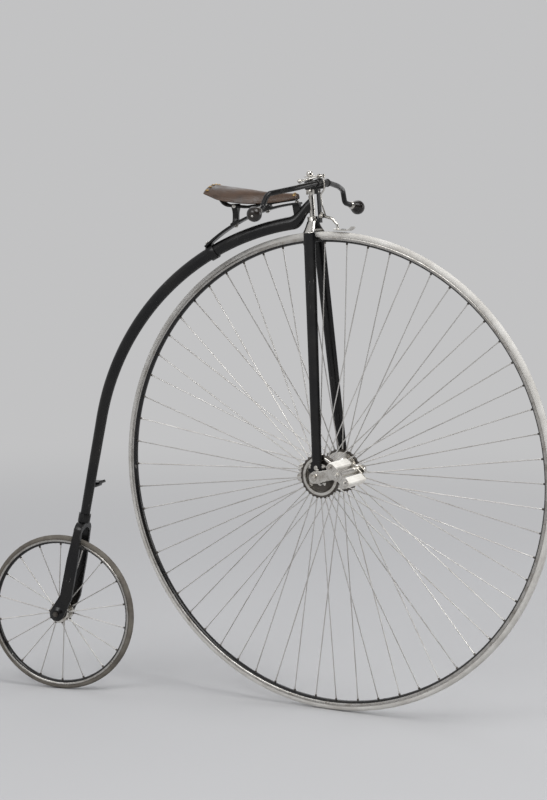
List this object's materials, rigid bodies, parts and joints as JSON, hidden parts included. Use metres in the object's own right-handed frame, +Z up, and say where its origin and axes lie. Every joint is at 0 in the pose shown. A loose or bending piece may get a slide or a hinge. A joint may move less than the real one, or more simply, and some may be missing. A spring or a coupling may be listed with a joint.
{
  "type": "high-wheel bicycle",
  "caption": "High-wheel bicycle with direct cranks and pedals on a large spoked front wheel, curved backbone, small trailing wheel, leather saddle and dropped handlebar.",
  "frame": {"origin": "Seat point, on the saddle's top where the rider sits, in the plane of the backbone.", "axes": "+X points forward along the backbone's plane, +Y to the rider's left, +Z up. The ground is at z = -1.490 m."},
  "size_m": [1.7453, 0.6279, 1.542],
  "materials": {
    "front_rubber": "worn solid rubber, dusty",
    "rear_rubber": "worn solid rubber",
    "black_enamel": "gloss stove enamel",
    "nickel": "worn nickel plate",
    "spoke_steel": "drawn wire",
    "pedal_rubber": "pale fluted rubber",
    "leather": "worn dark leather",
    "grip_black": "polished hard rubber"
  },
  "bodies": {
    "frame": {"backbone": "black_enamel", "neck": "black_enamel", "steering_spindle": "nickel", "rear_fork_crown": "black_enamel", "rear_fork_right": "black_enamel", "rear_fork_left": "black_enamel", "rear_axle": "nickel", "saddle_spring": "black_enamel", "spring_clip": "black_enamel", "saddle_leather": "leather", "saddle_frame": "black_enamel", "saddle_clip_front": "black_enamel", "saddle_clip_rear": "black_enamel", "mounting_step": "black_enamel"},
    "steering": {"fork_blade_right": "black_enamel", "fork_blade_left": "black_enamel", "bearing_case_right": "nickel", "bearing_case_left": "nickel", "fork_head": "nickel", "handlebar_lug": "black_enamel", "head_bolt": "nickel", "handlebar": "black_enamel", "ferrule_right": "nickel", "ferrule_left": "nickel", "handle_right": "grip_black", "handle_left": "grip_black", "brake_lever": "nickel", "brake_spoon": "nickel"},
    "front_wheel": {"front_tyre": "front_rubber", "front_rim": "black_enamel", "front_spokes": "spoke_steel", "front_hub": "nickel", "front_axle": "nickel", "crank_right": "nickel", "crank_left": "nickel", "pedal_pin_right": "nickel", "pedal_pin_left": "nickel"},
    "right_pedal": {"pedal_frame_right": "nickel", "pedal_rubbers_right": "pedal_rubber"},
    "left_pedal": {"pedal_frame_left": "nickel", "pedal_rubbers_left": "pedal_rubber"},
    "rear_wheel": {"rear_tyre": "rear_rubber", "rear_rim": "black_enamel", "rear_spokes": "spoke_steel", "rear_hub": "nickel"}
  },
  "joints": [
    {"name": "steering_turn", "type": "hinge", "parent": "frame", "child": "steering", "pos_m": [0.235, 0, -0.804], "axis": [-0.0767, 0, 0.9971], "range_deg": [-29, 51]},
    {"name": "front_wheel_spin", "type": "hinge", "parent": "steering", "child": "front_wheel", "pos_m": [0.235, 0, -0.804], "axis": [0.1902, 0.9816, 0.0146], "continuous": true},
    {"name": "right_pedal_spin", "type": "hinge", "parent": "front_wheel", "child": "right_pedal", "pos_m": [0.34034, -0.17366, -0.7749], "axis": [0.1902, 0.9816, 0.0146], "continuous": true},
    {"name": "left_pedal_spin", "type": "hinge", "parent": "front_wheel", "child": "left_pedal", "pos_m": [0.12966, 0.17366, -0.8331], "axis": [0.1902, 0.9816, 0.0146], "continuous": true},
    {"name": "rear_wheel_spin", "type": "hinge", "parent": "frame", "child": "rear_wheel", "pos_m": [-0.605, 0, -1.258], "axis": [0, 1, 0], "continuous": true}
  ]
}
